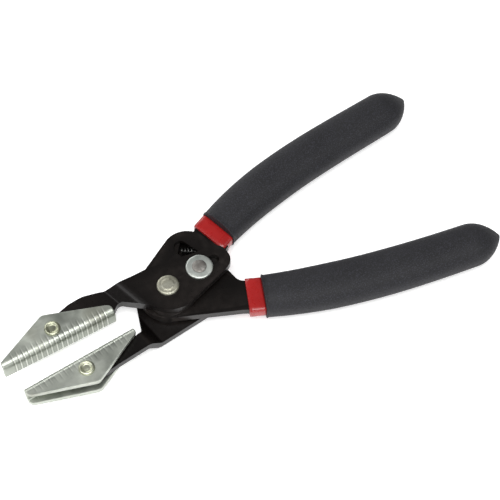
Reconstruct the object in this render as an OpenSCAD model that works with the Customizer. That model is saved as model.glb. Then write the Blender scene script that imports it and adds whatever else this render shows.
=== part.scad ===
// Pinch-off pliers with two swivelling jaw shoes, lying flat with every hinge axis vertical.
// Plan outlines are written from the pivot: +X runs towards the grips and +Y towards the upper
// handle. place() then moves the whole tool so that its origin is the bottom centre of its box.

/* [Plates] */
// Thickness of the two handle levers
handle_t = 4.0; // [3.6:0.1:4.6]
// Thickness of each head plate
head_t = 1.9; // [1.6:0.1:2.2]
// Thickness of the two jaw levers
jaw_t = 3.4; // [3:0.1:3.8]
// Gap between plates that turn on each other
plate_gap = 0.1; // [0.05:0.05:0.2]
// Inside radius where a jaw lever is bent
bend_r = 1.2; // [0.6:0.1:2]

/* [Pivot and lock] */
// Radius of the pivot rivet's shank
pivot_r = 4.0; // [3:0.1:4.5]
// Radius of the pivot rivet's heads
pivot_head_r = 5.25; // [4.8:0.05:6]
// Distance from the pivot to the lock pin
pin_reach = 17.0; // [16.6:0.1:17.4]
// Angle of the lock pin's slot above the X axis
pin_angle = 7.1; // [6.8:0.1:7.4]
// Radius of the lock pin
pin_r = 2.45; // [2:0.05:2.5]
// How far the lock pin slides outwards to let go
lock_travel = 4.0; // [3:0.5:4]
// How far the lower handle swings out to let go, in degrees
lock_swing = 5; // [4:0.5:5]
// Length of the slot in the front jaw lever, between the centres of its ends
slot_travel = 7.8; // [7:0.1:8]
// Radius of the washers on the lock pin
washer_r = 6.3; // [5.5:0.1:6.5]
// Radial clearance of a shank in its hole
running_gap = 0.05; // [0.03:0.01:0.08]

/* [Shoes] */
// Length of a shoe ahead of its rivet, on its pointed side
shoe_point = 27.6; // [26:0.1:28]
// Length of a shoe behind its rivet, on its blunt side
shoe_blunt = 28.2; // [27:0.1:29]
// Distance from the rivet to the clamping face
shoe_face = 7.0; // [6.6:0.1:7.4]
// Thickness of a shoe over its two flanges
shoe_t = 10.8; // [10:0.1:11.6]
// Thickness of the sheet that a shoe is folded from
sheet_t = 2.2; // [1.8:0.1:2.4]
// Outside radius of a shoe's folds
fold_r = 3.0; // [2.6:0.1:3.4]
// Number of pressed grooves across the clamping face
groove_count = 19; // [10:1:20]
// Distance between grooves
groove_pitch = 2.54; // [2.2:0.02:2.6]
// Radius of a shoe rivet's shank
shoe_rivet_r = 2.5; // [2:0.1:2.8]

/* [Handles] */
// Half the width of a grip at its widest
grip_half_w = 11.0; // [10.4:0.1:11.6]
// Half the thickness of a grip
grip_half_t = 7.8; // [6.4:0.1:8.4]
// Half the width of the upper collar
collar_half_w = 9.6; // [9.2:0.05:9.8]
// Half the thickness of a collar
collar_half_t = 3.4; // [3:0.1:4]
// Length of a collar
collar_len = 7.6; // [6:0.1:8.5]

/* [Hidden] */

$fn = 64;
arc_step = 9;

// Levels in the stack, from the middle plane outwards
z_head = handle_t / 2;
z_jaw_front = z_head + head_t + plate_gap;
z_front = z_jaw_front + jaw_t;
z_jaw_rear = z_head + head_t;
z_rear = z_jaw_rear + jaw_t;
washer_t = 1.1;
pivot_rear_t = 1.8;

// The middle of the overall box, measured from the pivot, and the height of the pivot plane
box_mid = [34.56, 1.57];
z_base = z_rear + pivot_rear_t;

// Joint places, measured from the pivot
upper_rivet = [-55.2, 4.7];
lower_rivet = [-49.4, -20.3];
upper_shoe_angle = 3.5;
lower_shoe_angle = 186.1;

// Direction in which the front jaw lever bends, in degrees
front_bend_angle = 21;

// Boss radii around the pivot
head_boss = 13.1;
handle_boss = 13.7;
// The upper handle lever keeps outside this radius, where the lower one swings
swing_r = 28.9;

// The return spring, between the upper handle lever and the lower handle's lobe
spring_start = [14.6, 17.9];
spring_end = [21.8, 14.0];
spring_r = 1.55;
spring_wire_r = 0.4;
spring_turns = 5;
spring_sides = 8;
spring_steps = 14;

// Control points of the handles' centre lines: start, two pulls and the end
upper_path = [[28.7, 17.1], [63.9, 35.8], [105.9, 39.4], [135.6, 43.9]];
lower_path = [[31.0, -18.3], [67.4, -32.9], [103.5, -37.4], [136.4, -40.8]];
path_steps = 28;
ring_points = 28;
end_rings = 7;
end_len = 15.3;
// Half the width of each tang where it starts, in the middle and where it ends inside the grip
upper_tang = [8.2, 7.4, 6.2];
lower_tang = [7.5, 7.0, 6.2];
// How far each collar's end leans off square, in degrees
upper_lean = -8;
lower_lean = 3;

// --- plan geometry ---------------------------------------------------------------------------

function unit(v) = v / norm(v);
function polar(r, a) = [r * cos(a), r * sin(a)];
function spin(v, a) = [v[0] * cos(a) - v[1] * sin(a), v[0] * sin(a) + v[1] * cos(a)];
function left_of(v) = [-v[1], v[0]];
function at(v) = [v[0], v[1]];

// The points that round corner b, of radius r, between its neighbours a and c
function corner(a, b, c, r) =
    let (u = unit(b - a), w = unit(c - b), t = atan2(u[0] * w[1] - u[1] * w[0], u * w),
         start = b - u * r * tan(abs(t) / 2), centre = start + sign(t) * r * left_of(u),
         n = max(2, ceil(abs(t) / arc_step)))
    r == 0 ? [b] : [for (i = [0 : n]) centre + spin(start - centre, t * i / n)];

// An outline from a list of corners [x, y, radius]
function rounded(v) =
    let (n = len(v))
    [for (i = [0 : n - 1])
        each corner(at(v[(i + n - 1) % n]), at(v[i]), at(v[(i + 1) % n]), v[i][2])];

// A point and a direction on a cubic curve with four control points
function curve(p, t) =
    p[0] * pow(1 - t, 3) + p[1] * 3 * t * pow(1 - t, 2) + p[2] * 3 * t * t * (1 - t) + p[3] * t * t * t;
function heading(p, t) =
    unit((p[1] - p[0]) * pow(1 - t, 2) + (p[2] - p[1]) * 2 * t * (1 - t) + (p[3] - p[2]) * t * t);
function mix(v, t) = t < 0.5 ? v[0] + (v[1] - v[0]) * 2 * t : v[1] + (v[2] - v[1]) * (2 * t - 1);

module place() translate([-box_mid[0], -box_mid[1], z_base]) children();
module slab(z0, t) translate([0, 0, z0]) linear_extrude(t) children();
module bore(p, r) translate([p[0], p[1], -20]) cylinder(r = r, h = 40);

// A straight slot between the points a and b, r wide on each side
module slot(a, b, r) {
    side = 0.99 * r * left_of(unit(b - a));
    translate(a) circle(r);
    translate(b) circle(r);
    polygon([a + side, a - side, b - side, b + side]);
}

// --- plates ----------------------------------------------------------------------------------

FRONT_JAW = [[-1.3, -14.9, 12.7], [32.6, -1.9, 6.2], [31.4, 10.2, 6.2], [18, 10.2, 30],
             [-4, 12.5, 22], [-12, 12.0, 20], [-20.5, 11.9, 15], [-29, 14.2, 14],
             [-36.5, 15.6, 9], [-43.5, 14.7, 9], [-60.6, 8.9, 4.6], [-60.0, 0.2, 4.2],
             [-25.8, 2.5, 1], [-22.6, 5.5, 2.4], [-13.0, -4.2, 6]];

REAR_JAW = [[21, -14.5, 5], [26.8, -2.4, 5], [26.8, 33.9, 10.8], [-9.5, 10.8, 4],
            [-13.6, 9.0, 3], [-19.5, -12.6, 1.6], [-23.0, -13.7, 2], [-54.9, -16.8, 4.2],
            [-54.3, -25.6, 4.2], [-44, -24.9, 10], [-34.8, -23.0, 30]];

HEAD = [[27.3, -2.9, 5], [27.3, 34.7, 11.3], [-10.5, 10.8, 3], [0, -13, 1]];

WINDOW = [[14.2, -1.6, 2.4], [24.2, -1.0, 2.6], [23.2, 7.5, 8], [16.6, 20.9, 2.4],
          [12.8, 20.9, 2.4], [10.8, 17.2, 2.2], [12.6, 13.5, 4], [12.6, 8.0, 6]];

// The opening in the rear jaw lever, as wide as the lock pin travels
PIN_WINDOW = [[14.2, -1.6, 2.4], [24.2, -1.0, 2.6], [23.2, 10.6, 3], [12.6, 10.6, 3]];

LOWER_LEVER = [[-4.65, -12.9, 0], [26.3, -24.1, 0], [31.0, -26.2, 0], [36.2, -12.6, 0],
               [31.0, -9.0, 4.5], [28.2, 2.6, 2.6], [25.0, 13.4, 1.2], [23.7, 15.5, 0.8],
               [20.3, 9.2, 1.5], [11.0, 8.0, 0]];

UPPER_LEVER = [[32.9, 7.6, 0], [35.2, 9.2, 0], [27.8, 25.4, 0], [24.0, 23.5, 0], [20.8, 23.9, 3],
               [12.0, 23.6, 8], [-5.5, 12.5, 2], [4, 6, 0], [19, 5.5, 0]];

// A side profile that steps from the middle plane to height rise, between start and stop
function joggle(start, stop, rise, t) =
    let (k = t / 2 * tan(atan2(rise, stop - start) / 2), outer = bend_r + t)
    rounded([[start - 70, t / 2, 0], [start - k, t / 2, bend_r], [stop - k, rise + t / 2, outer],
             [stop + 70, rise + t / 2, 0], [stop + 70, rise - t / 2, 0],
             [stop + k, rise - t / 2, bend_r], [start + k, -t / 2, outer],
             [start - 70, -t / 2, 0]]);

// A jaw lever: an outline cut from a plate that is bent along lines square to direction skew
module bent_lever(outline, skew, start, stop, rise)
    intersection() {
        slab(-20, 40) polygon(rounded(outline));
        rotate([0, 0, skew]) rotate([90, 0, 0]) translate([0, 0, -80]) linear_extrude(160)
            polygon(joggle(start, stop, rise, jaw_t));
    }

module front_jaw_lever()
    color("#1d1a19") difference() {
        bent_lever(FRONT_JAW, front_bend_angle, -18.9, -13.4, z_jaw_front + jaw_t / 2);
        bore([0, 0], pivot_r + running_gap);
        bore(upper_rivet, shoe_rivet_r + running_gap);
        slab(-20, 40) slot(polar(pin_reach, pin_angle),
                           polar(pin_reach + slot_travel, pin_angle), pin_r + running_gap);
    }

module rear_jaw_lever()
    color("#1d1a19") difference() {
        mirror([0, 0, 1]) bent_lever(REAR_JAW, 13, -23.1, -17.6, z_jaw_rear + jaw_t / 2);
        bore([0, 0], pivot_r);
        bore(lower_rivet, shoe_rivet_r + running_gap);
        slab(-20, 40) polygon(rounded(PIN_WINDOW));
    }

module head_plate(z0)
    color("#1d1a19") difference() {
        slab(z0, head_t) difference() {
            union() {
                circle(head_boss);
                polygon(rounded(HEAD));
            }
            // Flat side that clears the front jaw lever's bend
            rotate(front_bend_angle) translate([-60, -40]) square([60 - 12.0, 80]);
        }
        bore([0, 0], pivot_r);
        slab(-20, 40) polygon(rounded(WINDOW));
    }

module front_head_plate() head_plate(z_head);
module rear_head_plate() head_plate(-z_jaw_rear);

// The flat tang of a handle lever, along its centre line and into the grip
module tang(path, half_w)
    polygon([for (s = [-1, 1], i = [0 : path_steps])
        let (t = (s < 0 ? i : path_steps - i) / path_steps * 0.84)
        curve(path, t) + s * mix(half_w, t) * left_of(heading(path, t))]);

module upper_handle_lever()
    color("#1d1a19") difference() {
        slab(-z_head, handle_t) {
            tang(upper_path, upper_tang);
            difference() {
                polygon(rounded(UPPER_LEVER));
                circle(handle_boss + 0.4);
                intersection() {
                    circle(swing_r);
                    polygon([[0, 0], polar(60, -30), polar(60, 15), polar(60, 53)]);
                }
            }
        }
        bore([0, 0], handle_boss + 0.4);
    }

module lower_handle_lever()
    color("#1d1a19") difference() {
        slab(-z_head + plate_gap, handle_t - 2 * plate_gap) {
            circle(handle_boss);
            polygon(rounded(LOWER_LEVER));
            tang(lower_path, lower_tang);
        }
        bore([0, 0], pivot_r + running_gap);
        slab(-20, 40) slot(polar(pin_reach, pin_angle),
                           polar(pin_reach + lock_travel, pin_angle + lock_swing), pin_r + 0.2);
    }

// --- pivot, lock and spring ------------------------------------------------------------------

module pivot_rivet()
    color("#b9b6a6") rotate_extrude()
        polygon([[0, -z_rear - pivot_rear_t], [pivot_head_r - 0.3, -z_rear - pivot_rear_t],
                 [pivot_head_r, -z_rear - pivot_rear_t + 0.3], [pivot_head_r, -z_rear],
                 [pivot_r, -z_rear], [pivot_r, z_front + 0.05], [pivot_head_r, z_front + 0.05],
                 [pivot_head_r, z_front + 0.7], [pivot_head_r - 0.5, z_front + 1.2],
                 [pivot_head_r - 1.6, z_front + 1.5], [pivot_head_r - 2.1, z_front + 1.3],
                 [0, z_front + 1.3]]);

module lock_pin()
    color("#a9a69c") translate(polar(pin_reach, pin_angle)) rotate_extrude()
        polygon([[0, -z_rear - washer_t - 0.5], [2.9, -z_rear - washer_t - 0.5],
                 [3.4, -z_rear - washer_t - 0.05], [pin_r, -z_rear - washer_t - 0.05],
                 [pin_r, z_front + washer_t + 0.05], [3.4, z_front + washer_t + 0.05],
                 [3.3, z_front + washer_t + 0.35], [2.6, z_front + washer_t + 0.6],
                 [0, z_front + washer_t + 0.7]]);

module lock_washer(z0)
    color("#b4b9b6") translate([each polar(pin_reach, pin_angle), z0]) difference() {
        cylinder(r = washer_r, h = washer_t - 0.05);
        translate([0, 0, -1]) cylinder(r = pin_r, h = washer_t + 2);
    }

module front_lock_washer() lock_washer(z_front + 0.05);
module rear_lock_washer() lock_washer(-z_rear - washer_t);

// A coil of round wire, as rings of points carried along a helix
module coil(length) {
    rings = spring_turns * spring_steps;
    points = [for (i = [0 : rings], j = [0 : spring_sides - 1])
        let (a = 360 * i / spring_steps, b = 360 * j / spring_sides,
             r = spring_r + spring_wire_r * cos(b))
        [r * cos(a), r * sin(a), length * i / rings + spring_wire_r * sin(b)]];
    sides = [for (i = [0 : rings - 1], j = [0 : spring_sides - 1])
        let (k = i * spring_sides, m = (j + 1) % spring_sides)
        [k + j, k + m, k + m + spring_sides, k + j + spring_sides]];
    ends = [[for (j = [spring_sides - 1 : -1 : 0]) j],
            [for (j = [0 : spring_sides - 1]) rings * spring_sides + j]];
    polyhedron(points, concat(sides, ends));
}

module return_spring()
    color("#8f9194")
        translate(spring_start)
            rotate([0, 0, atan2(spring_end[1] - spring_start[1], spring_end[0] - spring_start[0])])
                rotate([0, 90, 0]) coil(norm(spring_end - spring_start));

// --- shoes -----------------------------------------------------------------------------------

// Places a shoe's pieces, drawn with the rivet at the origin, the pointed side towards -X and
// the clamping face towards -Y
module at_upper_shoe() translate(upper_rivet) rotate([0, 0, upper_shoe_angle]) children();
module at_lower_shoe() translate(lower_rivet) rotate([0, 0, lower_shoe_angle]) children();

SHOE = [[-shoe_point, -20, 0], [shoe_blunt, -20, 0], [shoe_blunt, -2.4, 3.4], [-1.5, 8.6, 3.2],
        [-shoe_point, -3.7, 1.2]];

// The folded channel's section: y is across the shoe and z is its thickness
module channel(inset)
    difference() {
        polygon(rounded([[-shoe_face + inset, -shoe_t / 2 + inset, fold_r - inset],
                         [12, -shoe_t / 2 + inset, 0], [12, shoe_t / 2 - inset, 0],
                         [-shoe_face + inset, shoe_t / 2 - inset, fold_r - inset]]));
        translate([-shoe_face + sheet_t, -shoe_t / 2 + sheet_t]) square([40, shoe_t - 2 * sheet_t]);
    }

module along(x0, length) translate([x0, 0, 0]) rotate([90, 0, 90]) linear_extrude(length) children();

module shoe() {
    groove_w = 0.7;
    groove_d = 0.3;
    first = -21.8;
    difference() {
        intersection() {
            along(-40, 80) channel(0);
            slab(-20, 40) polygon(rounded(SHOE));
        }
        for (i = [0 : groove_count - 1]) along(first + i * groove_pitch - groove_w / 2, groove_w)
            difference() {
                translate([-shoe_face - 1, -shoe_t]) square([5.2, 2 * shoe_t]);
                channel(groove_d);
                translate([-shoe_face + sheet_t, -shoe_t / 2 + sheet_t])
                    square([40, shoe_t - 2 * sheet_t]);
            }
        bore([0, 0], shoe_rivet_r);
    }
}

module upper_shoe() color("#aab0a8") at_upper_shoe() shoe();
module lower_shoe() color("#aab0a8") at_lower_shoe() shoe();

module shoe_rivet()
    color("#c3c2b4") rotate_extrude()
        polygon([[0, -shoe_t / 2 - 0.8], [3.0, -shoe_t / 2 - 0.8], [3.7, -shoe_t / 2],
                 [shoe_rivet_r, -shoe_t / 2], [shoe_rivet_r, shoe_t / 2], [3.75, shoe_t / 2],
                 [3.6, shoe_t / 2 + 0.6], [3.0, shoe_t / 2 + 1.0], [2.4, shoe_t / 2 + 0.9],
                 [2.0, shoe_t / 2 + 0.3], [0, shoe_t / 2 + 0.3]]);

module upper_shoe_rivet() at_upper_shoe() shoe_rivet();
module lower_shoe_rivet() at_lower_shoe() shoe_rivet();

// Two washers that keep the lever in the middle of the channel
module shoe_spacers() {
    inner = shoe_t / 2 - sheet_t;
    t = inner - jaw_t / 2 - 0.05;
    color("#b4b9b6") for (z0 = [inner - t, -inner]) translate([0, 0, z0]) difference() {
        cylinder(r = 4.3, h = t);
        translate([0, 0, -1]) cylinder(r = shoe_rivet_r, h = t + 2);
    }
}

module upper_shoe_spacers() at_upper_shoe() shoe_spacers();
module lower_shoe_spacers() at_lower_shoe() shoe_spacers();

// --- grips -----------------------------------------------------------------------------------

// Half the width of a grip at a fraction of its length, narrower towards both ends
function grip_w(t) = grip_half_w - 1.5 * pow(max(0, 1 - t / 0.35), 1.3) - 1.2 * max(0, t - 0.6);

// One ring of a sleeve: a rounded box, half_w wide and half_t thick, square to the path
function ring(p, dir, half_w, half_t, power) =
    [for (j = [0 : ring_points - 1])
        let (a = 360 * j / ring_points, c = cos(a), s = sin(a),
             y = sign(c) * pow(abs(c), 2 / power) * half_w,
             z = sign(s) * pow(abs(s), 2 / power) * half_t)
        [p[0] - y * dir[1], p[1] + y * dir[0], z]];

module sleeve(rings) {
    n = len(rings);
    m = ring_points;
    polyhedron([for (r = rings) each r],
        concat([for (i = [0 : n - 2], j = [0 : m - 1])
                   [i * m + j, i * m + (j + 1) % m, (i + 1) * m + (j + 1) % m, (i + 1) * m + j]],
               [[for (j = [m - 1 : -1 : 0]) j]], [[for (j = [0 : m - 1]) (n - 1) * m + j]]));
}

// The fraction of the path at which the collar ends and the grip starts
function collar_end(path) = collar_len / norm(path[1] - path[0]) / 3;

// A sleeve's ring at fraction t; the first ones lean a few degrees off square
function cut(path, t, lean, half_w, half_t, power) =
    ring(curve(path, t), spin(heading(path, t), lean * max(0, 1 - t / 0.2)), half_w, half_t, power);

module collar(path, half_w, lean, lever, half_width) {
    steps = 4;
    t1 = collar_end(path);
    color("#a8221f") difference() {
        sleeve([for (i = [0 : steps]) let (e = i == 0 ? 0.35 : 0)
            cut(path, t1 * i / steps, lean, half_width - e, collar_half_t - e, 6)]);
        slab(-z_head, handle_t) {
            tang(path, half_w);
            polygon(rounded(lever));
        }
    }
}

module grip(path, half_w, lean) {
    t0 = collar_end(path);
    body = [for (i = [0 : path_steps]) let (t = t0 + (1 - t0) * i / path_steps, e = i == 0 ? 0.5 : 0)
        cut(path, t, lean, grip_w(t) - e, grip_half_t - e, 2.5)];
    cap = [for (i = [1 : end_rings]) let (a = 86 * i / end_rings)
        ring(path[3] + heading(path, 1) * end_len * sin(a), heading(path, 1),
             grip_w(1) * pow(cos(a), 1.6), grip_half_t * pow(cos(a), 1.9), 2.5)];
    color("#323234") difference() {
        sleeve(concat(body, cap));
        slab(-z_head, handle_t) tang(path, half_w);
    }
}

module upper_collar() collar(upper_path, upper_tang, upper_lean, UPPER_LEVER, collar_half_w);
module lower_collar() collar(lower_path, lower_tang, lower_lean, LOWER_LEVER, collar_half_w - 0.65);
module upper_grip() grip(upper_path, upper_tang, upper_lean);
module lower_grip() grip(lower_path, lower_tang, lower_lean);

place() {
    rear_jaw_lever();
    front_jaw_lever();
    front_head_plate();
    rear_head_plate();
    upper_handle_lever();
    lower_handle_lever();
    pivot_rivet();
    lock_pin();
    front_lock_washer();
    rear_lock_washer();
    return_spring();
    upper_shoe();
    lower_shoe();
    upper_shoe_rivet();
    lower_shoe_rivet();
    upper_shoe_spacers();
    lower_shoe_spacers();
    upper_collar();
    lower_collar();
    upper_grip();
    lower_grip();
}
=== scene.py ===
import math

import bmesh
import bpy
from mathutils import Matrix, Vector, noise


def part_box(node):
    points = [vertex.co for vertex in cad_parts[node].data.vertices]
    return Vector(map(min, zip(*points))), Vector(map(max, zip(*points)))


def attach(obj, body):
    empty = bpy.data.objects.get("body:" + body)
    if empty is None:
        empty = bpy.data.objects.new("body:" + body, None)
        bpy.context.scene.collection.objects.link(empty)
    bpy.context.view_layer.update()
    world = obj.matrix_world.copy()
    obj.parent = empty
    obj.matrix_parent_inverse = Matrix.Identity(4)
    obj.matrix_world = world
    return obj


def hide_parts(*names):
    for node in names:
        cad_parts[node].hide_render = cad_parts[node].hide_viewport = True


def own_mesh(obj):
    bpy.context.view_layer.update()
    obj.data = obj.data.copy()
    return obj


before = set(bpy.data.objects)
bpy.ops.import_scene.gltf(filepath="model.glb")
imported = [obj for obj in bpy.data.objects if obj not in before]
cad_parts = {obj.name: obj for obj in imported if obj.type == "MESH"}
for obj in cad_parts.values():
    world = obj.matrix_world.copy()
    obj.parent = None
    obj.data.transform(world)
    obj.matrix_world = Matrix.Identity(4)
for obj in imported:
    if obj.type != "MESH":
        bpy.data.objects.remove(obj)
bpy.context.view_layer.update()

MM = 0.001

# Plan numbers below are in millimetres from the pivot, as in part.scad. The pivot lies in the middle of
# the CAD rivet's box in plan, and PIVOT_HEIGHT above the face of its rear head.
PIVOT_HEIGHT = 9.1
RIVET_LOW, RIVET_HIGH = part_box("pivot_rivet")
PIVOT = Vector(((RIVET_LOW[0] + RIVET_HIGH[0]) / 2, (RIVET_LOW[1] + RIVET_HIGH[1]) / 2,
                RIVET_LOW[2] + PIVOT_HEIGHT * MM))


def place(x, y, z=0.0):
    return PIVOT + Vector((x, y, z)) * MM


# --- sizes that more than one section uses --------------------------------------------------------

# A shoe: its reach ahead of and behind the rivet, rivet to face, half thickness, sheet, fold radius
POINT, BLUNT, FACE, HALF_T, SHEET, FOLD = 27.6, 28.2, 7.0, 5.4, 2.2, 3.0
# The pressed grooves: how many, their pitch and the place of the first one along the shoe
GROOVES, PITCH, FIRST = 19, 2.54, -21.8
UPPER_RIVET, UPPER_TURN = (-55.2, 4.7), 3.5
LOWER_RIVET, LOWER_TURN = (-49.4, -20.3), 186.1
# The outer faces of the stack of plates, above and below the pivot plane
FRONT, REAR = 7.4, -7.3


# --- looks ----------------------------------------------------------------------------------------

def srgb(r, g, b):
    def linear(v):
        v /= 255
        return v / 12.92 if v <= 0.04045 else ((v + 0.055) / 1.055) ** 2.4
    return linear(r), linear(g), linear(b), 1.0


class Look:
    """A node material with short helpers for noise, ramps, mixes and bumps."""

    def __init__(self, name, **sockets):
        self.mat = bpy.data.materials.new(name)
        self.mat.use_nodes = True
        self.tree = self.mat.node_tree
        self.bsdf = self.tree.nodes["Principled BSDF"]
        self.coord = self.tree.nodes.new("ShaderNodeTexCoord").outputs["Object"]
        for key, value in sockets.items():
            self.bsdf.inputs[key.replace("_", " ")].default_value = value

    def link(self, a, b):
        self.tree.links.new(a, b)

    def noise(self, scale, detail=3.0, rough=0.55, stretch=None):
        node = self.tree.nodes.new("ShaderNodeTexNoise")
        node.inputs["Scale"].default_value = scale
        node.inputs["Detail"].default_value = detail
        node.inputs["Roughness"].default_value = rough
        source = self.coord
        if stretch:
            mapping = self.tree.nodes.new("ShaderNodeMapping")
            mapping.inputs["Scale"].default_value = stretch
            self.link(source, mapping.inputs["Vector"])
            source = mapping.outputs["Vector"]
        self.link(source, node.inputs["Vector"])
        return node.outputs["Fac"]

    def cells(self, scale):
        node = self.tree.nodes.new("ShaderNodeTexVoronoi")
        node.inputs["Scale"].default_value = scale
        self.link(self.coord, node.inputs["Vector"])
        return node.outputs["Distance"]

    def ramp(self, source, *stops):
        node = self.tree.nodes.new("ShaderNodeValToRGB")
        points = node.color_ramp.elements
        while len(points) < len(stops):
            points.new(0.5)
        for point, (at, value) in zip(points, stops):
            point.position = at
            point.color = (value, value, value, 1.0)
        self.link(source, node.inputs["Fac"])
        return node.outputs["Color"]

    def mix(self, fac, a, b):
        node = self.tree.nodes.new("ShaderNodeMix")
        node.data_type = "RGBA"
        self.feed(fac, node.inputs["Factor"])
        self.feed(a, node.inputs["A"])
        self.feed(b, node.inputs["B"])
        return node.outputs["Result"]

    def calc(self, kind, a, b=0.0):
        node = self.tree.nodes.new("ShaderNodeMath")
        node.operation = kind
        self.feed(a, node.inputs[0])
        self.feed(b, node.inputs[1])
        return node.outputs[0]

    def times(self, a, b):
        out = self.calc("MULTIPLY", a, b)
        out.node.use_clamp = True
        return out

    def feed(self, value, socket):
        if isinstance(value, bpy.types.NodeSocket):
            self.link(value, socket)
        else:
            socket.default_value = value

    def bump(self, source, strength, distance, after=None):
        node = self.tree.nodes.new("ShaderNodeBump")
        node.inputs["Strength"].default_value = strength
        node.inputs["Distance"].default_value = distance
        self.link(source, node.inputs["Height"])
        if after:
            self.link(after, node.inputs["Normal"])
        return node.outputs["Normal"]

    def edge(self, low, high):
        node = self.tree.nodes.new("ShaderNodeNewGeometry")
        return self.ramp(node.outputs["Pointiness"], (low, 0.0), (high, 1.0))

    def colour(self, source):
        self.feed(source, self.bsdf.inputs["Base Color"])

    def rough(self, source):
        self.feed(source, self.bsdf.inputs["Roughness"])

    def normal(self, source):
        self.link(source, self.bsdf.inputs["Normal"])


def black_paint():
    look = Look("black_paint", Specular_IOR_Level=0.3)
    cloud = look.noise(60, 5, 0.6)
    fine = look.noise(900, 3, 0.6)
    base = look.mix(look.ramp(cloud, (0.35, 0.0), (0.75, 1.0)), srgb(12, 9, 8), srgb(14, 11, 10))
    scuff = look.ramp(look.noise(420, 6, 0.7, (1.0, 0.25, 1.0)), (0.62, 0.0), (0.74, 1.0))
    base = look.mix(look.times(scuff, 0.08), base, srgb(48, 44, 41))
    patches = look.ramp(look.noise(300, 4), (0.35, 0.3), (0.7, 1.0))
    worn = look.times(look.edge(0.54, 0.66), patches)
    look.colour(look.mix(worn, base, srgb(62, 56, 53)))
    look.rough(look.ramp(fine, (0.3, 0.27), (0.7, 0.31)))
    look.normal(look.bump(fine, 0.05, 0.00002, look.bump(cloud, 0.02, 0.0001)))
    return look.mat


def painted_groove_light(look, centre, angle):
    """Masks of painted light for the shoe on the rivet at centre: thin painted highlight lines where its
    grooves are pressed, painted shadows beside them and painted shade on the clamping face."""
    turn = -math.radians(angle)
    origin = Matrix.Rotation(turn, 3, "Z") @ place(*centre)
    mapping = look.tree.nodes.new("ShaderNodeMapping")
    mapping.inputs["Location"].default_value = -origin / MM
    mapping.inputs["Rotation"].default_value = (0, 0, turn)
    mapping.inputs["Scale"].default_value = (1 / MM, 1 / MM, 1 / MM)
    look.link(look.coord, mapping.inputs["Vector"])
    split = look.tree.nodes.new("ShaderNodeSeparateXYZ")
    look.link(mapping.outputs["Vector"], split.inputs["Vector"])
    count = look.calc("DIVIDE", look.calc("SUBTRACT", split.outputs["X"], FIRST), PITCH)
    off = look.calc("ABSOLUTE", look.calc("SUBTRACT", count, look.calc("ROUND", count)))
    after_first = look.calc("GREATER_THAN", count, -0.5)
    before_last = look.calc("LESS_THAN", count, GROOVES - 0.5)
    above_face = look.calc("ADD", split.outputs["Y"], FACE)
    high = look.ramp(look.calc("DIVIDE", above_face, 6.0), (0.35, 1.0), (0.95, 0.0))
    # painted shade mask over the clamping face
    face = look.ramp(look.calc("DIVIDE", above_face, 3.0), (0.05, 1.0), (0.5, 0.0))
    zone = look.times(look.calc("MULTIPLY", after_first, before_last), high)
    # painted highlight lines on the grooves, and painted shadows beside them
    line = look.ramp(off, (0.03, 1.0), (0.15, 0.0))
    painted_groove_shadow = look.ramp(off, (0.12, 0.0), (0.19, 1.0), (0.26, 1.0), (0.36, 0.0))
    return look.times(line, zone), look.times(painted_groove_shadow, zone), face


def zinc(name, dark, light, rough=(0.36, 0.52), stain=0.55, lines=None, highlight_strength=0.0):
    """Plated steel. Lines names a shoe's rivet and turn, for painted highlights and painted shade along
    its pressed grooves; the last argument sets how strong the painted highlights and shadows are.
    """
    look = Look(name, Metallic=1.0)
    cloud = look.noise(75, 5, 0.62)
    fine = look.noise(1500, 2, 0.5)
    streak = look.ramp(look.noise(350, 4, 0.6, (0.25, 1.0, 1.0)), (0.5, 0.0), (0.8, 1.0))
    base = look.mix(look.ramp(cloud, (0.3, 0.0), (0.72, 1.0)), dark, light)
    spots = look.ramp(look.noise(38, 3, 0.5), (0.60, 0.0), (0.70, 1.0))
    base = look.mix(look.times(spots, stain), base, srgb(128, 128, 114))
    base = look.mix(look.times(streak, 0.25), base, srgb(228, 231, 226))
    if lines:
        line, painted_groove_shadow, face = painted_groove_light(look, *lines)
        # painted shade darkens the clamping face
        base = look.mix(look.times(face, 0.35), base, srgb(124, 128, 118))
        # painted shadow beside each pressed groove
        base = look.mix(look.times(painted_groove_shadow, highlight_strength * 0.6), base, srgb(98, 103, 95))
        # painted highlight along each pressed groove
        base = look.mix(look.times(line, highlight_strength), base, srgb(238, 240, 232))
    look.colour(base)
    look.rough(look.ramp(cloud, (0.3, rough[0]), (0.7, rough[1])))
    look.normal(look.bump(fine, 0.2, 0.00004, look.bump(cloud, 0.12, 0.0004)))
    return look.mat


def steel_wire():
    look = Look("spring_wire", Metallic=1.0)
    look.colour(look.mix(look.noise(500, 3), srgb(62, 62, 62), srgb(100, 100, 98)))
    look.rough(look.ramp(look.noise(900, 2), (0.3, 0.26), (0.7, 0.4)))
    look.normal(look.bump(look.noise(1800, 2), 0.15, 0.00003))
    return look.mat


def red_dip():
    look = Look("red_dip", Specular_IOR_Level=0.35, Coat_Weight=0.4, Coat_Roughness=0.05)
    cloud = look.noise(120, 3)
    shade = look.ramp(cloud, (0.35, 0.0), (0.7, 1.0))
    look.colour(look.mix(shade, srgb(150, 25, 25), srgb(162, 31, 30)))
    look.rough(look.ramp(look.noise(420, 3), (0.3, 0.24), (0.7, 0.36)))
    look.normal(look.bump(look.noise(700, 3), 0.06, 0.00004, look.bump(cloud, 0.1, 0.0003)))
    return look.mat


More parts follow.
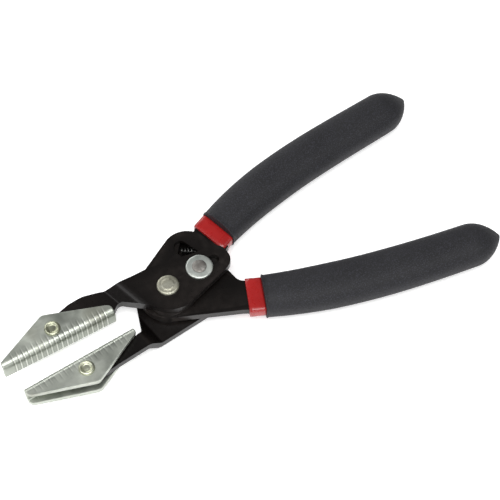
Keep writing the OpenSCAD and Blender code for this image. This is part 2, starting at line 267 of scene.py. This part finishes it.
def grip_skin():
    look = Look("grip_skin", Specular_IOR_Level=0.25)
    cloud = look.noise(45, 4, 0.6)
    grain = look.noise(900, 3, 0.65)
    pores = look.cells(1300)
    base = look.mix(look.ramp(cloud, (0.3, 0.0), (0.7, 1.0)), srgb(32, 32, 34), srgb(39, 39, 41))
    fleck = look.ramp(look.noise(2100, 2, 0.6), (0.50, 0.0), (0.64, 1.0))
    base = look.mix(look.times(fleck, 0.6), base, srgb(60, 60, 68))
    # painted shade: the hollows of the grain are darkened
    shaded_hollows = look.ramp(grain, (0.3, 1.0), (0.46, 0.0))
    base = look.mix(look.times(shaded_hollows, 0.5), base, srgb(22, 22, 24))
    look.colour(base)
    look.rough(look.ramp(grain, (0.3, 0.5), (0.7, 0.72)))
    look.normal(look.bump(pores, 0.35, 0.00012, look.bump(grain, 0.4, 0.00015)))
    return look.mat


def pale_floor():
    look = Look("pale_floor", Roughness=0.9, Emission_Color=(1, 1, 1, 1), Emission_Strength=0.45)
    look.colour(look.mix(look.noise(3, 2), (0.93, 0.93, 0.93, 1), (0.95, 0.95, 0.95, 1)))
    return look.mat


SHOE_DARK, SHOE_LIGHT = srgb(160, 165, 156), srgb(200, 204, 194)
BLACK = black_paint()
# The shoes' zinc carries painted highlights and painted shade along the grooves
UPPER_SHOE = zinc("upper_shoe_zinc", SHOE_DARK, SHOE_LIGHT, lines=(UPPER_RIVET, UPPER_TURN), highlight_strength=0.62)
LOWER_SHOE = zinc("lower_shoe_zinc", SHOE_DARK, SHOE_LIGHT, lines=(LOWER_RIVET, LOWER_TURN), highlight_strength=0.34)
WASHER = zinc("washer_zinc", srgb(172, 178, 173), srgb(205, 209, 203), (0.4, 0.55), 0.3)
RIVET = zinc("rivet_zinc", srgb(150, 149, 134), srgb(182, 180, 164), (0.4, 0.55), 0.4)
RING = zinc("ring_zinc", srgb(165, 168, 142), srgb(212, 215, 192), (0.25, 0.4), 0.5)
DULL = zinc("peened_steel", srgb(112, 108, 104), srgb(150, 146, 141), (0.45, 0.62), 0.5)
WIRE = steel_wire()
RED = red_dip()
GRIP = grip_skin()


# --- mesh helpers ---------------------------------------------------------------------------------

def make(name, verts, faces, material, body, slot_name, *nodes):
    """A smooth piece that rides the body and replaces the CAD nodes named."""
    mesh = bpy.data.meshes.new(name)
    mesh.from_pydata([tuple(v) for v in verts], [], faces)
    mesh.materials.append(material)
    bm = bmesh.new()
    bm.from_mesh(mesh)
    bmesh.ops.remove_doubles(bm, verts=bm.verts, dist=1e-7)
    bmesh.ops.recalc_face_normals(bm, faces=bm.faces)
    bm.to_mesh(mesh)
    bm.free()
    for p in mesh.polygons:
        p.use_smooth = True
    obj = bpy.data.objects.new(name, mesh)
    bpy.context.scene.collection.objects.link(obj)
    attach(obj, body)
    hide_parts(*nodes)
    return obj


def repaint(node, material):
    """The CAD piece, with its material changed."""
    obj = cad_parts[node]
    obj.data.materials.clear()
    obj.data.materials.append(material)
    return obj


def add_bevel(obj, name, width, segments, angle):
    bevel = obj.modifiers.new(name, "BEVEL")
    bevel.width = width * MM
    bevel.segments = segments
    bevel.limit_method = "ANGLE"
    bevel.angle_limit = math.radians(angle)
    bevel.use_clamp_overlap = True
    return bevel


def band(rings, capped=True):
    """The points of rings of equal length and the faces between them, with flat ends if capped."""
    n = len(rings[0])
    faces = [(i * n + j, i * n + (j + 1) % n, (i + 1) * n + (j + 1) % n, (i + 1) * n + j)
             for i in range(len(rings) - 1) for j in range(n)]
    if capped:
        faces.append(tuple(range(n - 1, -1, -1)))
        faces.append(tuple((len(rings) - 1) * n + j for j in range(n)))
    return [v for r in rings for v in r], faces


# The dents of a peened head: how close together they are, and the level that they start above
DENT_SCALE, DENT_ABOVE = 0.9, 3


def lathe(centre, profile, steps=72, capped=True, dent=0.0, seed=0.0):
    """Turns (radius, z) pairs about a vertical line; dent roughens the front head a little."""
    rings = []
    for r, z in profile:
        ring = []
        for j in range(steps):
            a = math.tau * j / steps
            x, y = centre[0] + r * math.cos(a), centre[1] + r * math.sin(a)
            lift = dent * noise.noise(Vector((x * DENT_SCALE + seed, y * DENT_SCALE, 0)))
            ring.append(place(x, y, z + lift if z > DENT_ABOVE else z))
        rings.append(ring)
    return band(rings, capped)


def rounded(corners, step=6.0):
    """The outline of [x, y, radius] corners, with an arc point every step degrees or so."""
    out = []
    n = len(corners)
    for i in range(n):
        a, b, c = (Vector(corners[k % n][:2]) for k in (i - 1, i, i + 1))
        r = corners[i][2]
        if r == 0:
            out.append(b)
            continue
        u, w = (b - a).normalized(), (c - b).normalized()
        turn = math.atan2(u.x * w.y - u.y * w.x, u.dot(w))
        start = b - u * r * math.tan(abs(turn) / 2)
        mid = start + Vector((-u.y, u.x)) * r * math.copysign(1, turn)
        k = max(3, math.ceil(math.degrees(abs(turn)) / step))
        for j in range(k + 1):
            out.append(mid + Matrix.Rotation(turn * j / k, 2) @ (start - mid))
    return out


# --- plates ---------------------------------------------------------------------------------------

PLATES = ("front_jaw_lever", "rear_jaw_lever", "front_head_plate", "rear_head_plate",
          "upper_handle_lever", "lower_handle_lever")
PLATE_EDGE = 0.28


def painted_plate(node):
    """The CAD plate keeps its shape and gets small rounded edges and a painted look."""
    obj = repaint(node, BLACK)
    merge = obj.modifiers.new("flat", "DECIMATE")
    merge.decimate_type = "DISSOLVE"
    merge.angle_limit = math.radians(1.0)
    add_bevel(obj, "round", PLATE_EDGE, segments=3, angle=25).harden_normals = True
    for p in obj.data.polygons:
        p.use_smooth = True


for plate in PLATES:
    painted_plate(plate)

# --- shoes ----------------------------------------------------------------------------------------

KITE = rounded([(-POINT, -20, 0), (BLUNT, -20, 0), (BLUNT, -2.4, 3.4), (-1.5, 8.6, 3.2), (-POINT, -3.7, 1.2)])
# Points along the flange, round the fold and over half the face, in one section of the channel
FLANGE_ROWS, FOLD_ROWS, FACE_ROWS = 15, 8, 3
# A groove: its depth, how far round the section it runs from the face's middle and how long it fades,
# then its half width at the faded end and how much wider it is at full depth
GROOVE_DEPTH, GROOVE_RUN, GROOVE_FADE = 0.12, 10.4, 3.4
GROOVE_THIN, GROOVE_WIDER = 0.34, 0.26
# The rounding at a shoe's ends: the distance from the end and how far the skin draws in there
SHOE_END = ((0.001, 0.28), (0.09, 0.1), (0.28, 0.0))
RINGS_PER_PITCH = 10
SHOE_RIM = 0.22


def kite_top(u):
    """How far the flange reaches at u, from the kite's upper edge."""
    best = -FACE + FOLD * 0.3
    for a, b in zip(KITE, KITE[1:] + KITE[:1]):
        if min(a.x, b.x) <= u <= max(a.x, b.x) and abs(a.x - b.x) > 1e-6:
            best = max(best, a.y + (b.y - a.y) * (u - a.x) / (b.x - a.x))
    return best


def groove(u, s):
    """How deep the nearest groove is at u, at the distance s round the section from the face's middle."""
    fade = min(1.0, max(0.0, (GROOVE_RUN - s) / GROOVE_FADE))
    if fade <= 0:
        return 0.0
    k = min(max(round((u - FIRST) / PITCH), 0), GROOVES - 1)
    half_width = GROOVE_THIN + GROOVE_WIDER * fade
    off = abs(u - FIRST - k * PITCH) / half_width
    if off >= 1:
        return 0.0
    return GROOVE_DEPTH * fade ** 0.7 * (0.5 + 0.5 * math.cos(math.pi * off))


def section(top, skin):
    """Points (v, z, normal, s) from the flange's rim at v = top, round the fold, to the face's middle,
    on the sheet's outside (skin 0) or inside (skin = sheet thickness)."""
    r = FOLD - skin
    flat = HALF_T - skin - r
    v_fold = -FACE + skin + r
    skip = math.asin(min(1.0, (v_fold - top) / r)) if v_fold > top else 0.0
    rim = max(top, v_fold)
    path = []
    for i in range(FLANGE_ROWS):
        v = rim + (v_fold - rim) * i / (FLANGE_ROWS - 1)
        path.append((v - r * math.sin(skip), flat + r * math.cos(skip),
                     (-math.sin(skip), math.cos(skip)), HALF_T - FOLD + math.pi / 2 * FOLD + v - v_fold))
    for i in range(1, FOLD_ROWS + 1):
        a = skip + (math.pi / 2 - skip) * i / FOLD_ROWS
        path.append((v_fold - r * math.sin(a), flat + r * math.cos(a),
                     (-math.sin(a), math.cos(a)), HALF_T - FOLD + (math.pi / 2 - a) * FOLD))
    for i in range(1, FACE_ROWS + 1):
        rest = 1 - i / FACE_ROWS
        path.append((v_fold - r, flat * rest, (-1, 0), (HALF_T - FOLD) * rest))
    return path


def shoe_ring(u, shrink):
    """One closed ring of the shoe at u: outside from one rim to the other, then back inside. Shrink
    draws both skins into the sheet."""
    top = kite_top(u)
    outer, inner = section(top, 0.0), section(top, SHEET)
    ring = []
    for sign, points in ((1, outer), (-1, outer[::-1][1:])):
        for v, z, normal, s in points:
            depth = groove(u, s) + shrink
            ring.append((u, v - normal[0] * depth, sign * (z - normal[1] * depth)))
    for sign, points in ((-1, inner), (1, inner[::-1][1:])):
        for v, z, normal, s in points:
            ring.append((u, v + normal[0] * shrink, sign * (z + normal[1] * shrink)))
    return ring


def shoe_columns():
    """Where along the shoe its rings lie, with how far the skin draws in at each."""
    columns = [(-POINT + inset, shrink) for inset, shrink in SHOE_END]
    step = PITCH / RINGS_PER_PITCH
    u = columns[-1][0] + step
    while u < BLUNT - SHOE_END[-1][0] - step / 2:
        columns.append((u, 0.0))
        u += step
    return columns + [(BLUNT - inset, shrink) for inset, shrink in SHOE_END[::-1]]


def shoe(label, rivet, angle, material):
    turn = Matrix.Rotation(math.radians(angle), 2)
    rings = []
    for u, shrink in shoe_columns():
        ring = []
        for x, v, z in shoe_ring(u, shrink):
            p = turn @ Vector((x, v))
            ring.append(place(rivet[0] + p.x, rivet[1] + p.y, z))
        rings.append(ring)
    verts, faces = band(rings, capped=False)
    n = len(rings[0])
    # Both ends close between the outside and the inside, so the channel stays open
    for base, flip in ((0, True), ((len(rings) - 1) * n, False)):
        for j in range(n // 2 - 1):
            quad = (base + j, base + j + 1, base + n - 2 - j, base + n - 1 - j)
            faces.append(quad[::-1] if flip else quad)
    body = label + "_shoe_body"
    obj = make(body + "_shell", verts, faces, material, body, "shoe_steel", label + "_shoe")
    add_bevel(obj, "rim", SHOE_RIM, segments=2, angle=55)


shoe("upper", UPPER_RIVET, UPPER_TURN, UPPER_SHOE)
shoe("lower", LOWER_RIVET, LOWER_TURN, LOWER_SHOE)

# --- rivets, pin and washers ----------------------------------------------------------------------

# (radius, z) profiles, from the middle of the front head to the middle of the rear one. A shoe rivet
# has a raised ring in front and a low dome behind.
SHOE_RIVET = [(0.01, 5.72), (0.9, 5.70), (1.5, 5.62), (1.85, 5.66), (2.1, 5.95), (2.4, 6.25), (2.75, 6.38),
              (3.1, 6.33), (3.4, 6.12), (3.62, 5.8), (3.72, 5.42), (3.5, 5.40), (2.5, 5.40),
              (2.5, -5.38), (3.65, -5.4), (3.6, -5.7), (3.2, -6.05), (2.6, -6.18), (0.01, -6.2)]
PIVOT_RIVET = [(0.01, FRONT + 1.4), (1.2, FRONT + 1.42), (2.2, FRONT + 1.4), (2.75, FRONT + 1.37),
               (2.95, FRONT + 1.26), (3.15, FRONT + 1.22), (4.0, FRONT + 1.2), (4.6, FRONT + 1.12),
               (4.95, FRONT + 0.9), (5.18, FRONT + 0.5), (5.24, FRONT + 0.15), (5.1, FRONT + 0.05),
               (4.0, FRONT + 0.05), (4.0, REAR), (5.1, REAR), (5.24, REAR - 0.15), (5.24, REAR - 1.5),
               (5.05, REAR - 1.72), (4.8, REAR - 1.79), (0.01, REAR - 1.79)]
LOCK_PIN = [(0.01, FRONT + 1.68), (1.2, FRONT + 1.72), (2.2, FRONT + 1.66), (2.85, FRONT + 1.5),
            (3.22, FRONT + 1.3), (3.36, FRONT + 1.14), (2.45, FRONT + 1.12), (2.45, REAR - 1.12),
            (3.36, REAR - 1.14), (3.1, REAR - 1.45), (2.6, REAR - 1.58), (0.01, REAR - 1.6)]
PIN_REACH, PIN_ANGLE = 17.0, math.radians(7.1)
PIN = (PIN_REACH * math.cos(PIN_ANGLE), PIN_REACH * math.sin(PIN_ANGLE))
WASHER_GAP, WASHER_TOP = 0.05, 1.1


def shoe_rivet(label, centre):
    verts, faces = lathe(centre, SHOE_RIVET, dent=0.06, seed=centre[0])
    name = label + "_shoe_rivet"
    make(name + "_turned", verts, faces, RING, label + "_shoe_body", "rivet_steel", name)
    repaint(label + "_shoe_spacers", WASHER)


def lock_washer(side, inner, outer):
    """A washer with a rolled rim on its outer side, between two levels in the stack."""
    s = math.copysign(1, outer)
    profile = [(2.46, inner), (2.46, outer - 0.03 * s), (2.5, outer), (2.6, outer), (4.6, outer),
               (5.5, outer - 0.02 * s), (5.95, outer - 0.1 * s), (6.18, outer - 0.28 * s),
               (6.28, outer - 0.6 * s), (6.26, inner + 0.1 * s), (6.2, inner), (2.46, inner)]
    verts, faces = lathe(PIN, profile, steps=80, capped=False)
    name = side + "_lock_washer"
    make(name + "_turned", verts, faces, WASHER, "lock", "zinc_steel", name)


shoe_rivet("upper", UPPER_RIVET)
shoe_rivet("lower", LOWER_RIVET)
make("pivot_rivet_turned", *lathe((0, 0), PIVOT_RIVET, dent=0.09, seed=3.0),
     RIVET, "root", "rivet_steel", "pivot_rivet")
make("lock_pin_turned", *lathe(PIN, LOCK_PIN, dent=0.14, seed=8.0),
     DULL, "lock", "rivet_steel", "lock_pin")
lock_washer("front", FRONT + WASHER_GAP, FRONT + WASHER_TOP)
lock_washer("rear", REAR - WASHER_GAP, REAR - WASHER_TOP)

# --- spring ---------------------------------------------------------------------------------------

SPRING_START, SPRING_END = Vector((14.6, 17.9, 0)), Vector((21.8, 14.0, 0))
COIL_R, WIRE_R, TURNS = 1.55, 0.38, 5
COIL_STEPS, WIRE_SIDES = 28, 10
# The share of the spring's length that is left free at each end of the coil
SPRING_INSET = 0.03


def return_spring():
    length = (SPRING_END - SPRING_START).length
    axis = (SPRING_END - SPRING_START).normalized()
    across = Vector((-axis.y, axis.x, 0))
    up = Vector((0, 0, 1))
    rings = []
    steps = TURNS * COIL_STEPS
    for i in range(steps + 1):
        t = i / steps
        a = math.tau * TURNS * t
        out = across * math.cos(a) + up * math.sin(a)
        along = length * (SPRING_INSET + (1 - 2 * SPRING_INSET) * t)
        mid = SPRING_START + axis * along + out * COIL_R
        angles = [math.tau * j / WIRE_SIDES for j in range(WIRE_SIDES)]
        rings.append([place(*(mid + (out * math.cos(b) + axis * math.sin(b)) * WIRE_R)) for b in angles])
    spring = make("return_spring_coil", *band(rings), WIRE, "root", "spring_steel", "return_spring")
    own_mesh(spring)


return_spring()

# --- grips and collars ----------------------------------------------------------------------------

# Control points of the handles' centre lines, half widths, half thicknesses and lengths
UPPER_PATH = [Vector(p) for p in ((28.7, 17.1), (63.9, 35.8), (105.9, 39.4), (135.6, 43.9))]
LOWER_PATH = [Vector(p) for p in ((31.0, -18.3), (67.4, -32.9), (103.5, -37.4), (136.4, -40.8))]
GRIP_W, GRIP_T, COLLAR_T, COLLAR_LEN, END_LEN = 10.9, 7.8, 3.4, 7.6, 15.25
# Exponents of the rounded-box sections, and of how the grip's end narrows in width and thickness
COLLAR_POWER, GRIP_POWER, END_POWER_W, END_POWER_T = 6, 2.5, 1.6, 1.9
# (fraction of the length, how far the skin stands out) along the collar and over the grip's lip
COLLAR_STOPS = ((0.0, -0.6), (0.012, -0.22), (0.04, 0.0), (0.3, 0.04), (0.55, 0.0), (0.9, 0.0),
                (0.999, -0.05))
GRIP_LIP = [(0.0, -0.6), (0.0003, -0.05), (0.001, 0.28), (0.0035, 0.34), (0.006, 0.18)]
LIP_END = 0.012
# How far round a grip's rounded end its last ring lies, in degrees
END_TURN = 88.5
GRIP_ROWS, END_ROWS, RING_POINTS = 72, 18, 56
LEAN_FADES_AT = 0.2
# A grip's narrowing near the collar (how much, until where, how curved) and near the end (slope, from)
NECK_LOSS, NECK_UNTIL, NECK_POWER = 1.5, 0.35, 1.3
TAIL_LOSS, TAIL_FROM = 1.2, 0.6


def curve(p, t):
    return p[0] * (1 - t) ** 3 + p[1] * 3 * t * (1 - t) ** 2 + p[2] * 3 * t * t * (1 - t) + p[3] * t ** 3


def heading(p, t):
    d = (p[1] - p[0]) * (1 - t) ** 2 + (p[2] - p[1]) * 2 * t * (1 - t) + (p[3] - p[2]) * t * t
    return d.normalized()


def leaned(path, t, lean):
    """The heading at t, turned by the lean of the collar's cut, which fades along the handle."""
    return Matrix.Rotation(math.radians(lean * max(0.0, 1 - t / LEAN_FADES_AT)), 2) @ heading(path, t)


def collar_end(path):
    """The fraction of the path at which the collar ends and the grip starts."""
    return COLLAR_LEN / (path[1] - path[0]).length / 3


def grip_w(t):
    """Half the width of a grip, narrower towards both ends, as in part.scad."""
    neck = NECK_LOSS * max(0.0, 1 - t / NECK_UNTIL) ** NECK_POWER
    return GRIP_W - neck - TAIL_LOSS * max(0.0, t - TAIL_FROM)


def ring_at(p, d, half_w, half_t, power):
    """A rounded box, square to the direction d."""
    out = []
    for j in range(RING_POINTS):
        a = math.tau * j / RING_POINTS
        c, s = math.cos(a), math.sin(a)
        y = math.copysign(abs(c) ** (2 / power) * half_w, c)
        z = math.copysign(abs(s) ** (2 / power) * half_t, s)
        out.append(place(p.x - y * d.y, p.y + y * d.x, z))
    return out


def collar(label, path, lean, half_w, body):
    t1 = collar_end(path)
    rings = [ring_at(curve(path, t1 * f), leaned(path, t1 * f, lean), half_w + e, COLLAR_T + e, COLLAR_POWER)
             for f, e in COLLAR_STOPS]
    make(label + "_collar_sleeve", *band(rings), RED, body, "red_dip", label + "_collar")


def grip(label, path, lean, body):
    t0 = collar_end(path)
    rows = [(LIP_END + (1 - LIP_END) * i / GRIP_ROWS, 0.0) for i in range(GRIP_ROWS + 1)]
    rings = []
    for f, e in GRIP_LIP + rows:
        t = t0 + (1 - t0) * f
        rings.append(ring_at(curve(path, t), leaned(path, t, lean), grip_w(t) + e, GRIP_T + e, GRIP_POWER))
    ahead = heading(path, 1)
    for i in range(1, END_ROWS + 1):
        a = math.radians(END_TURN * i / END_ROWS)
        rings.append(ring_at(path[3] + ahead * END_LEN * math.sin(a), ahead,
                             grip_w(1) * math.cos(a) ** END_POWER_W, GRIP_T * math.cos(a) ** END_POWER_T,
                             GRIP_POWER))
    make(label + "_grip_sleeve", *band(rings), GRIP, body, "black_grip", label + "_grip")


for label, path, lean, collar_w, body in (("upper", UPPER_PATH, -8, 9.6, "root"),
                                          ("lower", LOWER_PATH, 3, 8.95, "lower_handle")):
    collar(label, path, lean, collar_w, body)
    grip(label, path, lean, body)

# --- camera, floor and light ----------------------------------------------------------------------

ELEVATION, HEADING, DISTANCE = math.radians(59.6), math.radians(63), 0.690
AIM = place(43.68, 3.67)
LENS, SENSOR = 106.56, 36
FLOOR_SIZE = 4.0
LIGHT_AIM = place(30, 0)


def toward(azimuth, elevation):
    """A unit vector at an azimuth from +X and an elevation above the floor, in radians."""
    flat = math.cos(elevation)
    return Vector((math.cos(azimuth) * flat, math.sin(azimuth) * flat, math.sin(elevation)))


def add_object(name, data):
    obj = bpy.data.objects.new(name, data)
    bpy.context.scene.collection.objects.link(obj)
    return obj


def aim_along(obj, direction):
    obj.rotation_mode = "QUATERNION"
    obj.rotation_quaternion = direction.to_track_quat("-Z", "Y")


def add_camera():
    sight = toward(HEADING, -ELEVATION)
    obj = add_object("camera", bpy.data.cameras.new("camera"))
    obj.location = AIM - sight * DISTANCE
    aim_along(obj, sight)
    obj.data.lens = LENS
    obj.data.sensor_width = SENSOR
    obj.data.clip_start, obj.data.clip_end = 0.01, 20
    bpy.context.scene.camera = obj


def add_floor():
    mesh = bpy.data.meshes.new("floor")
    corners = [(x * FLOOR_SIZE, y * FLOOR_SIZE, 0) for x, y in ((-1, -1), (1, -1), (1, 1), (-1, 1))]
    mesh.from_pydata(corners, [], [(0, 1, 2, 3)])
    mesh.materials.append(pale_floor())
    floor = add_object("floor", mesh)


def softbox(name, azimuth, elevation, distance, width, height, power):
    """An area light in a direction from the object, in degrees and metres."""
    direction = toward(math.radians(azimuth), math.radians(elevation))
    data = bpy.data.lights.new(name, "AREA")
    data.shape = "RECTANGLE"
    data.size, data.size_y = width, height
    data.energy = power
    obj = add_object(name, data)
    obj.location = LIGHT_AIM + direction * distance
    aim_along(obj, -direction)


def add_surroundings():
    world = bpy.data.worlds.new("world")
    world.use_nodes = True
    background = world.node_tree.nodes["Background"]
    background.inputs["Color"].default_value = (1, 1, 1, 1)
    background.inputs["Strength"].default_value = 0.14
    scene = bpy.context.scene
    scene.world = world
    scene.view_settings.view_transform = "Standard"
    scene.view_settings.look = "None"


add_camera()
add_floor()
softbox("key", -117, 74, 1.6, 1.2, 0.9, 19)
softbox("front", -112, 27, 1.5, 1.8, 0.16, 7)
softbox("back", 98, 27, 1.7, 1.6, 0.25, 10)
softbox("left", 170, 38, 1.6, 1.2, 0.7, 6)
softbox("right", -40, 48, 1.6, 0.8, 0.6, 2.5)
add_surroundings()
